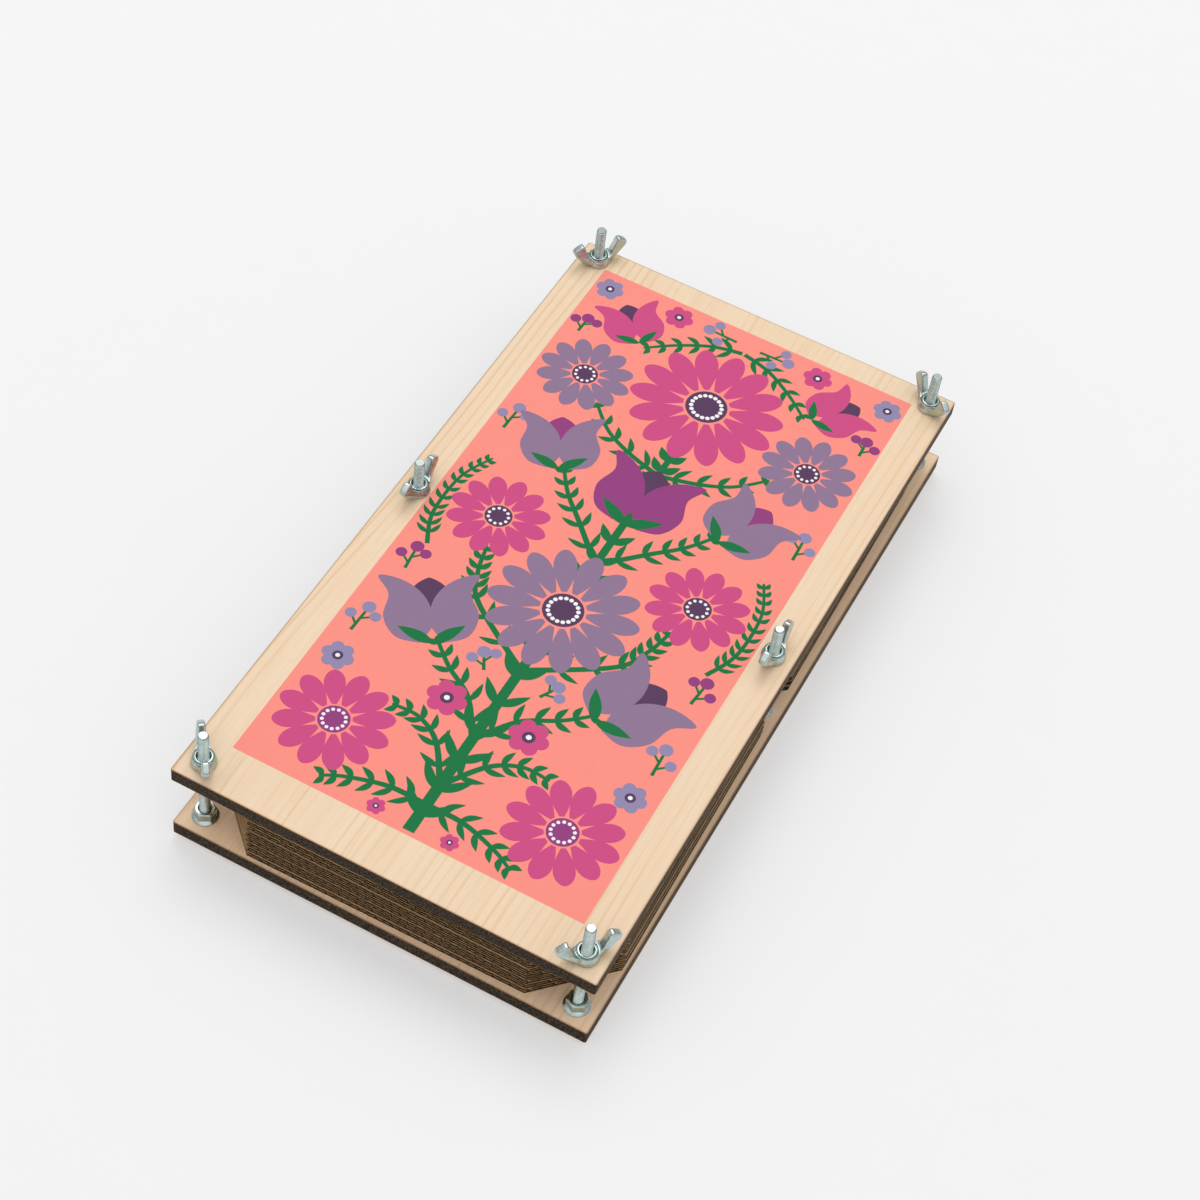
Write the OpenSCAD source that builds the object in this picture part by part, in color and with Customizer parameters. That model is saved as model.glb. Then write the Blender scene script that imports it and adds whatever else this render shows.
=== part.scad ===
// Flower press: two plywood boards on six bolts, with a pile of corrugated
// cards and blotting papers clamped between them by wing nuts.
// X runs across the boards, Y along them, Z up. The origin is the middle of
// the footprint, level with the undersides of the bolt heads.

/* [Boards] */
// Width of both boards, across X
board_w = 160; // [140:1:200]
// Length of both boards, along Y
board_l = 300; // [240:1:380]
// Thickness of each plywood board
board_t = 6; // [4:0.5:9]

/* [Printed panel] */
// Thickness of the printed film on the top board
print_t = 0.1; // [0.05:0.05:0.3]
// Gap between the left wing nuts and the film's edge
print_gap_left = 0.15; // [0.1:0.05:4]
// Gap between the right wing nuts and the film's edge
print_gap_right = 1.55; // [0.1:0.05:4]
// Bare margin in front of the film
print_margin_front = 18.2; // [10:0.1:40]
// Bare margin behind the film
print_margin_back = 10.4; // [5:0.1:40]

/* [Bolts] */
// Outside diameter of the bolt thread
bolt_d = 3.9; // [3.5:0.1:4.3]
// Distance of each bolt from the edges of the boards
bolt_inset = 8; // [7:0.5:11]
// Height that the longest bolts stand above the top board
bolt_rise = 17.2; // [14:0.1:30]
// How much shorter the front left bolt was cut
short_front_left = 1.6; // [0:0.1:3]
// How much shorter the middle left bolt was cut
short_middle_left = 2.1; // [0:0.1:3]
// How much shorter the middle right bolt was cut
short_middle_right = 1.2; // [0:0.1:3]
// Chamfer at the free end of each bolt
bolt_chamfer = 0.45; // [0.2:0.05:0.8]
// Width of the bolt heads and nuts across their flats
hex_af = 7; // [6:0.1:8]
// Height of the bolt heads
head_h = 2.8; // [2:0.1:4]

/* [Flange nuts] */
// Diameter of the round flange
flange_d = 9.6; // [9:0.1:10.5]
// Thickness of the flange at its rim
flange_rim_t = 0.6; // [0.3:0.1:1]
// Height of the whole flange nut
flange_nut_h = 4.6; // [3.5:0.1:6]

/* [Wing nuts] */
// Distance from wing tip to wing tip
wing_span = 23.6; // [19:0.2:27]
// Height from the seat to the top of the wings
wing_h = 11.4; // [9:0.1:14]
// Thickness of the wings
wing_t = 2.9; // [2:0.1:3.4]
// Widest diameter of the bulged hub
hub_d = 9.1; // [8:0.1:10]
// Height of the hub below its collar
hub_h = 3.1; // [2.6:0.1:3.6]
// Diameter of the collar on the hub
collar_d = 6.6; // [6:0.1:7.4]
// Height of the hub and its collar together
nut_h = 4.1; // [4:0.1:5.5]
// Diameter of the countersink in the collar
sink_d = 5.4; // [4.8:0.1:5.8]

/* [Cards and papers] */
// Thickness of one corrugated card, clamped
card_t = 2.85; // [2:0.05:4]
// Thickness of one blotting paper
paper_t = 0.3; // [0.2:0.05:1]
// Thickness of the liners that face a card
liner_t = 0.22; // [0.15:0.01:0.4]
// Thickness of the wavy sheet inside a card
flute_wall_t = 0.28; // [0.15:0.01:0.4]
// Length of one wave inside a card
flute_pitch = 6.37; // [5:0.01:9]
// Margin between the boards' long edges and the sheets
sheet_margin_side = 2.5; // [1:0.1:5]
// Margin between the boards' short edges and the sheets
sheet_margin_end = 2; // [1:0.1:6]
// Gap between a corner nut and the cut corner of the sheets
corner_clear = 4.25; // [3:0.05:8]
// Gap along Y between a middle nut and the mouth of its notch
notch_mouth_clear = 7.2; // [5:0.1:12]
// Gap along Y between a middle nut and the floor of its notch
notch_floor_clear = 2.9; // [2:0.1:5]
// Gap along X between a middle nut and the floor of its notch
notch_depth_clear = 1.4; // [1:0.1:4]
// How much less each paper reaches than the cards
paper_inset = 0.4; // [0:0.1:1]
// Angle that the loose pile has turned between the bolts
pile_turn = 0.7; // [0:0.1:1]
// How far single sheets lie out of line
sheet_slip = 0.25; // [0:0.05:0.5]

/* [Hidden] */
card_count = 8;

// Radial gap between a bolt and the bores that its nuts have
thread_gap = 0.05;
// Radial gap between a bolt and the holes in the boards
hole_gap = 0.3;
// Air between two sheets that lie on each other, or on a board
lay_gap = 0.01;
// Overrun of every cut
cut = 1;
// Smoothness of round shapes
$fn = 64;

// Places of the bolts as seen from above, in shares of the bolt rectangle
LEFT = -1;
RIGHT = 1;
FRONT = -1;
MIDDLE = 0;
BACK = 1;
bolt_x = board_w / 2 - bolt_inset;
bolt_y = board_l / 2 - bolt_inset;

// Angles at which the wings of each nut came to rest
front_left_turn = 128;
front_right_turn = 50;
middle_left_turn = 87.3;
middle_right_turn = 87.6;
back_left_turn = 52.4;
back_right_turn = -38.1;

// Heights of the faces, from the undersides of the bolt heads
base_z = head_h;
pile_z = base_z + board_t;
sheet_step = card_t + paper_t + 2 * lay_gap;
pile_h = card_count * sheet_step - paper_t;
top_z = pile_z + pile_h;
deck_z = top_z + board_t;
bolt_top_z = deck_z + bolt_rise;

// Round and hexagonal sizes
nut_bore_d = bolt_d + 2 * thread_gap;
board_hole_d = bolt_d + 2 * hole_gap;
hex_d = hex_af / cos(30);
hex_edge_share = 0.94;
flange_r = flange_d / 2;

// Dome of a wing nut's hub, as angles from its widest line
dome_low = -25;
dome_high = 90;
dome_steps = 8;

// Side view of a wing, in shares of half the span and of the wing's height
wing_foot_shares = [[0.18, 0.04], [0.39, 0.035]];
wing_lower_shares = [[0.5, 0.08], [0.68, 0.27], [0.84, 0.5]];
wing_upper_shares = [[0.55, 0.77], [0.47, 0.53], [0.38, 0.35], [0.18, 0.27]];
wing_shoulder_share = 0.78;
wing_inner_share = 0.6;
wing_round_share = 0.25;

// Sheet outline
card_w = board_w - 2 * sheet_margin_side;
card_l = board_l - 2 * sheet_margin_end;
corner_cut = 2 * bolt_inset - sheet_margin_side - sheet_margin_end + sqrt(2) * (flange_r + corner_clear);
notch_mouth = flange_r + notch_mouth_clear;
notch_floor = flange_r + notch_floor_clear;
notch_depth = bolt_inset - sheet_margin_side + flange_r + notch_depth_clear;
notch_flank_share = 0.4;

// The hollows between the waves, in shares of the pitch and of the hollow's height
flute_count = ceil(card_w / flute_pitch) + 1;
hollow_shares = [
    [-0.36, 1], [-0.305, 0.9], [-0.165, 0.1], [-0.11, 0],
    [0.11, 0], [0.165, 0.1], [0.305, 0.9], [0.36, 1]
];

// Steady scatter of the loose sheets, a share of the slip for each sheet
scatter_turn = 137.5;
slip_turn_share = 0.06;

// Points on an arc about a centre, from angle a to angle b
function arc_points(centre, r, a, b, steps) =
    [for (i = [0:steps]) centre + r * [cos(a + (b - a) * i / steps), sin(a + (b - a) * i / steps)]];

module place_at_bolt(side, row) {
    translate([side * bolt_x, row * bolt_y, 0]) children();
}

module bolt_holes() {
    for (side = [LEFT, RIGHT], row = [FRONT, MIDDLE, BACK])
        place_at_bolt(side, row) translate([0, 0, -cut]) cylinder(d = board_hole_d, h = board_t + 2 * cut);
}

module plywood_board() {
    difference() {
        translate([-board_w / 2, -board_l / 2, 0]) cube([board_w, board_l, board_t]);
        bolt_holes();
    }
}

module base_board() {
    color("burlywood") translate([0, 0, base_z]) plywood_board();
}

module top_board() {
    color("wheat") translate([0, 0, top_z]) plywood_board();
}

// The film lies between the rows of wing nuts, on the top board
module printed_panel() {
    hub_edge = bolt_inset + hub_d / 2;
    film_left = hub_edge + print_gap_left;
    film_right = hub_edge + print_gap_right;
    film_size = [board_w - film_left - film_right, board_l - print_margin_front - print_margin_back, print_t];
    color("salmon")
        translate([film_left - board_w / 2, print_margin_front - board_l / 2, deck_z]) cube(film_size);
}

// Half of a notch, from its mouth at the sheet's side to the middle of its floor
function notch_points(half_w, inset, dir) = [
    [half_w, -dir * (notch_mouth + inset)],
    [half_w - notch_flank_share * notch_depth, -dir * (notch_floor + inset)],
    [half_w - notch_depth, -dir * (notch_floor + inset)],
    [half_w - notch_depth, dir * (notch_floor + inset)],
    [half_w - notch_flank_share * notch_depth, dir * (notch_floor + inset)],
    [half_w, dir * (notch_mouth + inset)]
];

// A sheet has cut corners round the corner bolts and a notch round each middle bolt
module sheet_outline(inset) {
    w = card_w / 2 - inset;
    l = card_l / 2 - inset;
    right = notch_points(w, inset, 1);
    left = [for (p = notch_points(w, inset, -1)) [-p[0], p[1]]];
    polygon(concat(
        [[corner_cut - w, -l], [w - corner_cut, -l], [w, corner_cut - l]],
        right,
        [[w, l - corner_cut], [w - corner_cut, l], [corner_cut - w, l], [-w, l - corner_cut]],
        left,
        [[-w, corner_cut - l]]
    ));
}

// Sheets are counted from the bottom of the pile, cards and papers by turns
module lay_sheet(place) {
    slip_angle = scatter_turn * place;
    slip = sheet_slip * [cos(slip_angle), sin(slip_angle)];
    rotate(pile_turn + slip_turn_share * sin(slip_angle))
        translate([slip[0], slip[1], 0]) children();
}

// One hollow of a card: it opens towards a liner and narrows to the wave's far side
function hollow_points(place, wide_z, narrow_z) =
    [for (p = hollow_shares) [(place + p[0]) * flute_pitch, narrow_z + (wide_z - narrow_z) * p[1]]];

module card_section() {
    upper_z = card_t - liner_t;
    lower_z = liner_t;
    difference() {
        translate([-card_w / 2 - cut, 0]) square([card_w + 2 * cut, card_t]);
        for (i = [0:flute_count - 1]) {
            place = i - flute_count / 2;
            polygon(hollow_points(place, upper_z, lower_z + flute_wall_t));
            polygon(hollow_points(place + 0.5, lower_z, upper_z - flute_wall_t));
        }
    }
}

module corrugated_card(number) {
    color("peru")
        translate([0, 0, pile_z + lay_gap + (number - 1) * sheet_step])
            lay_sheet(2 * number - 1) intersection() {
                rotate([90, 0, 0]) linear_extrude(height = card_l + 2 * cut, center = true) card_section();
                translate([0, 0, -cut]) linear_extrude(height = card_t + 2 * cut) sheet_outline(0);
            }
}

module blotting_paper(number) {
    color("tan")
        translate([0, 0, pile_z + number * sheet_step - paper_t])
            lay_sheet(2 * number) linear_extrude(height = paper_t) sheet_outline(paper_inset);
}

// A hexagon with its corners turned away at the top
module hex_block(h) {
    bevel_h = (hex_d - hex_af) / 2;
    intersection() {
        cylinder(d = hex_d, h = h, $fn = 6);
        union() {
            cylinder(d = hex_d + cut, h = h - bevel_h);
            translate([0, 0, h - bevel_h]) cylinder(d1 = hex_d + cut, d2 = hex_edge_share * hex_af, h = bevel_h);
        }
    }
}

// Hexagon bolt with its head under the base board, cut shorter than the longest bolts
module bolt(short) {
    shank_h = bolt_top_z - short - base_z;
    color("silver") {
        translate([0, 0, head_h]) mirror([0, 0, 1]) hex_block(head_h);
        translate([0, 0, base_z]) cylinder(d = bolt_d, h = shank_h - bolt_chamfer);
        translate([0, 0, base_z + shank_h - bolt_chamfer])
            cylinder(d1 = bolt_d, d2 = bolt_d - 2 * bolt_chamfer, h = bolt_chamfer);
    }
}

// Nut that locks each bolt to the base board
module flange_nut() {
    cone_h = (flange_d - hex_af) / 2 * tan(30);
    color("lightgray") translate([0, 0, pile_z]) difference() {
        union() {
            cylinder(d = flange_d, h = flange_rim_t);
            translate([0, 0, flange_rim_t]) cylinder(d1 = flange_d, d2 = hex_af, h = cone_h);
            hex_block(flange_nut_h);
        }
        translate([0, 0, -cut]) cylinder(d = nut_bore_d, h = flange_nut_h + 2 * cut);
    }
}

// Round body of a wing nut: a domed hub, then a collar with a countersink
module wing_hub() {
    collar_r = collar_d / 2;
    rim = (collar_d - sink_d) / 4;
    dome = [for (i = [0:dome_steps])
        let (a = dome_low + (dome_high - dome_low) * i / dome_steps)
        [collar_r + (hub_d / 2 - collar_r) * cos(a), hub_h * i / dome_steps]];
    rotate_extrude() polygon(concat(
        [[0, 0]],
        dome,
        [[collar_r, nut_h - rim], [collar_r - rim, nut_h], [0, nut_h]]
    ));
}

// Side view of one wing: it grows out of the hub and flares to a blunt end
module wing_outline() {
    half = wing_span / 2;
    round_r = wing_round_share * wing_t;
    shoulder = [half - round_r, wing_shoulder_share * wing_h];
    inner = [wing_inner_share * half + round_r, wing_h - round_r];
    polygon(concat(
        [for (s = wing_foot_shares) [s[0] * half, s[1] * wing_h]],
        [for (s = wing_lower_shares) [s[0] * half, s[1] * wing_h]],
        arc_points(shoulder, round_r, -30, 60, 4),
        arc_points(inner, round_r, 60, 170, 4),
        [for (s = wing_upper_shares) [s[0] * half, s[1] * wing_h]]
    ));
}

module wing() {
    rotate([90, 0, 0]) linear_extrude(height = wing_t, center = true) wing_outline();
}

module wing_nut(turn) {
    color("gainsboro") translate([0, 0, deck_z]) rotate(turn) difference() {
        union() {
            wing_hub();
            wing();
            mirror([1, 0, 0]) wing();
        }
        translate([0, 0, -cut]) cylinder(d = nut_bore_d, h = nut_h + 2 * cut);
        translate([0, 0, nut_h - (sink_d - nut_bore_d) / 2])
            cylinder(d1 = nut_bore_d, d2 = sink_d, h = (sink_d - nut_bore_d) / 2);
    }
}

base_board();
top_board();
printed_panel();
corrugated_card(1);  // corrugated_card_1
corrugated_card(2);  // corrugated_card_2
corrugated_card(3);  // corrugated_card_3
corrugated_card(4);  // corrugated_card_4
corrugated_card(5);  // corrugated_card_5
corrugated_card(6);  // corrugated_card_6
corrugated_card(7);  // corrugated_card_7
corrugated_card(8);  // corrugated_card_8
blotting_paper(1);  // blotting_paper_1
blotting_paper(2);  // blotting_paper_2
blotting_paper(3);  // blotting_paper_3
blotting_paper(4);  // blotting_paper_4
blotting_paper(5);  // blotting_paper_5
blotting_paper(6);  // blotting_paper_6
blotting_paper(7);  // blotting_paper_7
place_at_bolt(LEFT, FRONT) bolt(short_front_left);  // bolt_front_left
place_at_bolt(RIGHT, FRONT) bolt(0);  // bolt_front_right
place_at_bolt(LEFT, MIDDLE) bolt(short_middle_left);  // bolt_middle_left
place_at_bolt(RIGHT, MIDDLE) bolt(short_middle_right);  // bolt_middle_right
place_at_bolt(LEFT, BACK) bolt(0);  // bolt_back_left
place_at_bolt(RIGHT, BACK) bolt(0);  // bolt_back_right
place_at_bolt(LEFT, FRONT) flange_nut();  // flange_nut_front_left
place_at_bolt(RIGHT, FRONT) flange_nut();  // flange_nut_front_right
place_at_bolt(LEFT, MIDDLE) flange_nut();  // flange_nut_middle_left
place_at_bolt(RIGHT, MIDDLE) flange_nut();  // flange_nut_middle_right
place_at_bolt(LEFT, BACK) flange_nut();  // flange_nut_back_left
place_at_bolt(RIGHT, BACK) flange_nut();  // flange_nut_back_right
place_at_bolt(LEFT, FRONT) wing_nut(front_left_turn);  // wing_nut_front_left
place_at_bolt(RIGHT, FRONT) wing_nut(front_right_turn);  // wing_nut_front_right
place_at_bolt(LEFT, MIDDLE) wing_nut(middle_left_turn);  // wing_nut_middle_left
place_at_bolt(RIGHT, MIDDLE) wing_nut(middle_right_turn);  // wing_nut_middle_right
place_at_bolt(LEFT, BACK) wing_nut(back_left_turn);  // wing_nut_back_left
place_at_bolt(RIGHT, BACK) wing_nut(back_right_turn);  // wing_nut_back_right
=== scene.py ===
"""Flower press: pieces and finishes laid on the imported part."""

import math
import random

import bmesh
import bpy
from mathutils import Matrix, Vector


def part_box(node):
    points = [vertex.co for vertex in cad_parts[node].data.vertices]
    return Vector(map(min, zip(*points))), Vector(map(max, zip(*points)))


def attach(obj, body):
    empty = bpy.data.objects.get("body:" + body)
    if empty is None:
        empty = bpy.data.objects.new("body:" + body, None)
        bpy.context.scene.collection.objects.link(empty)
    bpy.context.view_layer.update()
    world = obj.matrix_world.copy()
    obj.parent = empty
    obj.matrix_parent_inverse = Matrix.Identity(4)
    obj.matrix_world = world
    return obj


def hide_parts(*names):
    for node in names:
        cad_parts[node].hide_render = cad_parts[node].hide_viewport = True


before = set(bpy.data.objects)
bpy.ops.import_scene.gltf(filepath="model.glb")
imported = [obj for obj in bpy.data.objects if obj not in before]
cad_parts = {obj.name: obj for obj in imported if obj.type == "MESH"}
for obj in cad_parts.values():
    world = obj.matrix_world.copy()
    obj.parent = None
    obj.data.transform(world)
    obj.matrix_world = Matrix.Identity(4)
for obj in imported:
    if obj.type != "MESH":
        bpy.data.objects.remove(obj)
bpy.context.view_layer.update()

# Frame and finishes are in metres; meshes are drawn in millimetres
MM = 0.001
TAU = 2 * math.pi

# Finishes; their noise is stretched by waves per metre along x, y and z


def shade(red, green, blue):
    """A colour as it shows on a screen, 0 to 255, made linear for a shader."""
    linear = []
    for value in (red, green, blue):
        share = value / 255
        linear.append(share / 12.92 if share < 0.04045 else ((share + 0.055) / 1.055) ** 2.4)
    return (*linear, 1.0)


class Value:
    """A socket in a finish, so that maths on it is written as Python."""

    def __init__(self, finish, socket):
        self.finish = finish
        self.socket = socket

    def math(self, operation, *values):
        """A Math node on these values."""
        return self.finish.node("ShaderNodeMath", {"operation": operation}, dict(enumerate(values)))

    def __add__(self, other):
        return self.math("ADD", self, other)

    def __radd__(self, other):
        return self.math("ADD", other, self)

    def __sub__(self, other):
        return self.math("SUBTRACT", self, other)

    def __rsub__(self, other):
        return self.math("SUBTRACT", other, self)

    def __mul__(self, other):
        return self.math("MULTIPLY", self, other)

    def __rmul__(self, other):
        return self.math("MULTIPLY", other, self)

    def __truediv__(self, other):
        return self.math("DIVIDE", self, other)

    def __pow__(self, other):
        return self.math("POWER", self, other)

    def __abs__(self):
        return self.math("ABSOLUTE", self)

    def sine(self):
        return self.math("SINE", self)

    def lowest(self, other):
        return self.math("MINIMUM", self, other)

    def highest(self, other):
        return self.math("MAXIMUM", self, other)


class Nodes:
    """A node tree that is built by hand."""

    def __init__(self, tree):
        self.tree = tree

    def node(self, kind, settings=None, inputs=None, output=0):
        """Adds a node, first its settings and then the values or links of its sockets."""
        made = self.tree.nodes.new(kind)
        for key, value in (settings or {}).items():
            if key == "stops":
                stops = made.color_ramp.elements
                while len(stops) < len(value):
                    stops.new(0.5)
                for stop, (place, colour) in zip(stops, value):
                    stop.position = place
                    stop.color = colour
            else:
                setattr(made, key, value)
        for key, value in (inputs or {}).items():
            self.feed(made.inputs[key], value)
        return Value(self, made.outputs[output])

    def feed(self, socket, value):
        if isinstance(value, Value):
            self.tree.links.new(value.socket, socket)
        else:
            socket.default_value = value

    def place(self, kind="Object"):
        """Where the shaded point lies; in metres on an object, a direction in the world."""
        return self.node("ShaderNodeTexCoord", output=kind)

    def split(self, vector):
        parts = self.node("ShaderNodeSeparateXYZ", inputs={0: vector})
        sockets = parts.socket.node.outputs
        return [Value(self, sockets[axis]) for axis in range(3)]

    def join(self, x, y, z):
        return self.node("ShaderNodeCombineXYZ", inputs={0: x, 1: y, 2: z})

    def stretch(self, vector, scale, shift=(0, 0, 0)):
        settings = {"operation": "MULTIPLY_ADD"}
        return self.node("ShaderNodeVectorMath", settings, {0: vector, 1: scale, 2: shift})

    def noise(self, vector, detail=2.0, roughness=0.5, distortion=0.0):
        inputs = {
            "Vector": vector,
            "Scale": 1.0,
            "Detail": detail,
            "Roughness": roughness,
            "Distortion": distortion,
        }
        return self.node("ShaderNodeTexNoise", None, inputs)

    def step(self, value, low, high):
        """A soft step from 0 at low to 1 at high."""
        inputs = {"Value": value, "From Min": low, "From Max": high}
        return self.node("ShaderNodeMapRange", {"interpolation_type": "SMOOTHSTEP"}, inputs)

    def blend(self, share, start, end, how="MIX"):
        settings = {"data_type": "RGBA", "blend_type": how}
        return self.node("ShaderNodeMix", settings, {0: share, 6: start, 7: end}, 2)

    def bump(self, height, distance, strength=1.0):
        inputs = {"Strength": strength, "Distance": distance, "Height": height}
        return self.node("ShaderNodeBump", None, inputs)


class Finish(Nodes):
    """One material, built from nodes on a Principled shader."""

    def __init__(self, name, fixed):
        self.material = bpy.data.materials.new(name)
        self.material.use_nodes = True
        super().__init__(self.material.node_tree)
        self.shader = self.tree.nodes["Principled BSDF"]
        for socket, value in fixed.items():
            self.shader.inputs[socket].default_value = value

    def paint(self, **sockets):
        """Feeds sockets of the shader, with underscores for the spaces in their names."""
        for key, value in sockets.items():
            self.feed(self.shader.inputs[key.replace("_", " ")], value)


def veneer_finish(name, half, shift, light, dark):
    """Pale sanded veneer: fibres, growth lines, brown streaks towards the left, a scorched rim."""
    wood = Finish(name, {"Specular IOR Level": 0.32})
    place = wood.place()
    x, y, _ = wood.split(place)
    sway = wood.noise(wood.stretch(place, (9, 2.6, 0), shift), 1.5)
    drift = wood.noise(wood.stretch(place, (34, 5, 0), shift), 2.0)
    ring = (x * 1900 + sway * 46 + drift * 13).sine() * 0.5 + 0.5
    faint = wood.step(wood.noise(wood.stretch(place, (75, 6, 0), shift), 2.0), 0.38, 0.68)
    lines = ring ** 6.0 * (faint * 0.88 + 0.12)
    fibre = wood.noise(wood.stretch(place, (2100, 46, 0), shift), 2.0, 0.6)
    fleck = wood.step(wood.noise(wood.stretch(place, (1300, 260, 0), shift), 1.0), 0.60, 0.78)
    band = wood.noise(wood.stretch(place, (210, 4, 0), shift), 2.0, 0.55, 0.3)
    cloud = wood.noise(wood.stretch(place, (30, 12, 0), shift), 2.0)
    heart = wood.step(wood.noise(wood.stretch(place, (95, 7, 0), shift), 3.0, 0.6), 0.56, 0.74)
    heart_side = wood.step(x, -50 * MM, -78 * MM) * 0.8 + 0.12
    tone = wood.blend(cloud, light, dark)
    tone = wood.blend(lines * 0.70, tone, shade(222, 185, 140))
    tone = wood.blend(wood.step(fibre, 0.35, 0.8) * 0.40, tone, shade(230, 198, 158))
    tone = wood.blend(wood.step(band, 0.45, 0.80) * 0.35, tone, shade(228, 196, 156))
    tone = wood.blend(fleck * 0.16, tone, shade(214, 176, 132))
    tone = wood.blend(heart * heart_side * 0.6, tone, shade(205, 165, 118))
    rim = (half.x - abs(x)).lowest(half.y - abs(y))
    smoke = 1 - wood.step(rim, 0.0, 0.9 * MM)
    tone = wood.blend(smoke * 0.55, tone, shade(150, 104, 66))
    wood.paint(Base_Color=tone, Roughness=fibre * 0.16 + 0.50)
    wood.paint(Normal=wood.bump(fibre * 0.5 + lines * 0.3 - fleck * 0.4, 0.05 * MM, 0.5))
    return wood.material


def scorched_finish(name, middle, half, shift):
    """The laser-cut rim of a board: charred plies between two brown veneers; the end rims are painted far
    darker than the sides, as painted shade.
    """
    char = Finish(name, {"Specular IOR Level": 0.10})
    place = char.place()
    _, y, z = char.split(place)
    level = (z - middle.z) / half.z
    soot = char.noise(char.stretch(place, (620, 620, 260), shift), 4.0, 0.62)
    stripe = char.noise(char.stretch(place, (1500, 1500, 45), shift), 2.0)
    long_burn = char.noise(char.stretch(place, (70, 70, 20), shift), 2.0)
    ply = (level * 7.85).sine() * 0.5 + 0.5
    side = char.blend(char.step(soot, 0.36, 0.70), shade(60, 45, 31), shade(108, 86, 62))
    side = char.blend(char.step(long_burn, 0.40, 0.72) * 0.5, side, shade(112, 88, 66))
    # The ends of the board, front and back, get a far darker char than its sides: painted shade on those
    # rims, laid where the mask across marks the ends
    end = char.blend(char.step(soot, 0.40, 0.75), shade(10, 7, 4), shade(38, 28, 18))
    across = char.step(abs(y), half.y - 1.2 * MM, half.y - 0.8 * MM)
    tone = char.blend(across, side, end)
    tone = char.blend(ply ** 6.0 * 0.3, tone, shade(34, 26, 20))
    tone = char.blend(stripe * 0.22, tone, shade(74, 60, 48))
    wander = char.noise(char.stretch(place, (240, 240, 0), shift), 2.0) * 0.14
    cinder = char.step(char.noise(char.stretch(place, (1150, 1150, 700), shift), 2.0, 0.6), 0.42, 0.66)
    tone = char.blend(cinder * 0.45, tone, shade(30, 24, 18))
    ash = char.step(char.noise(char.stretch(place, (1500, 1500, 1300), shift[::-1]), 4.0, 0.75), 0.44, 0.68)
    tone = char.blend(ash * (across * 0.56 + 0.20), tone, shade(112, 95, 76))
    veneer = char.step(abs(level) + wander, 0.93, 1.02)
    tone = char.blend(veneer * 0.85, tone, shade(150, 104, 64))
    char.paint(Base_Color=tone, Roughness=soot * 0.3 + 0.5)
    char.paint(Normal=char.bump(soot * 0.6 + stripe * 0.4, 0.16 * MM, 0.8))
    return char.material


def kraft_finish(name, light, dark, speckle, grain=(1400, 1400, 1400)):
    """Recycled kraft card: fibres, blotches and darker specks; grain stretches the fibres."""
    card = Finish(name, {"Specular IOR Level": 0.25})
    place = card.place()
    fibre = card.noise(card.stretch(place, grain), 4.0, 0.65)
    blotch = card.noise(card.stretch(place, (160, 160, 420)), 2.0)
    speck = card.step(card.noise(card.stretch(place, (2600, 2600, 2600)), 1.0), 0.66, 0.78)
    tone = card.blend(fibre, light, dark)
    tone = card.blend(card.step(blotch, 0.4, 0.7) * 0.35, tone, dark)
    tone = card.blend(speck * 0.5, tone, speckle)
    card.paint(Base_Color=tone, Roughness=fibre * 0.2 + 0.7)
    card.paint(Normal=card.bump(fibre, 0.08 * MM, 0.6))
    return card.material


def blotter_finish():
    """Soft absorbent paper with a felted surface."""
    paper = Finish("blotting_paper_felt", {"Specular IOR Level": 0.15})
    place = paper.place()
    felt = paper.noise(paper.stretch(place, (1900, 1900, 1900)), 5.0, 0.7)
    cloud = paper.noise(paper.stretch(place, (60, 60, 60)), 2.0)
    tone = paper.blend(felt, shade(170, 142, 104), shade(140, 112, 78))
    tone = paper.blend(cloud * 0.3, tone, shade(124, 98, 68))
    paper.paint(Base_Color=tone, Roughness=felt * 0.1 + 0.85)
    paper.paint(Normal=paper.bump(felt, 0.05 * MM, 0.5))
    return paper.material


def zinc_finish():
    """Bright zinc plate on steel: cool grey, clouded, with a fine dark grain."""
    zinc = Finish("zinc_plate", {"Metallic": 1.0})
    place = zinc.place()
    cloud = zinc.noise(zinc.stretch(place, (420, 420, 420)), 3.0, 0.6)
    grain = zinc.noise(zinc.stretch(place, (2300, 2300, 2300)), 3.0, 0.6)
    tone = zinc.blend(cloud, shade(208, 221, 217), shade(160, 176, 173))
    tone = zinc.blend(zinc.step(grain, 0.52, 0.72) * 0.35, tone, shade(120, 137, 134))
    zinc.paint(Base_Color=tone, Roughness=cloud * 0.16 + 0.17)
    zinc.paint(Normal=zinc.bump(grain * 0.6 + cloud, 0.035 * MM, 0.5))
    return zinc.material


def ink_finish(name, colour):
    """Matt ink printed on the veneer, with a trace of the fibres under it."""
    ink = Finish(name, {"Specular IOR Level": 0.22})
    place = ink.place()
    fibre = ink.noise(ink.stretch(place, (1700, 60, 0)), 2.0)
    cloud = ink.noise(ink.stretch(place, (40, 40, 0)), 2.0)
    darker = tuple(value * 0.93 for value in colour[:3]) + (1.0,)
    tone = ink.blend(ink.step(fibre, 0.45, 0.8) * 0.35 + cloud * 0.15, colour, darker)
    ink.paint(Base_Color=tone, Roughness=fibre * 0.1 + 0.58)
    ink.paint(Normal=ink.bump(fibre, 0.02 * MM, 0.4))
    return ink.material


# Shells


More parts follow.
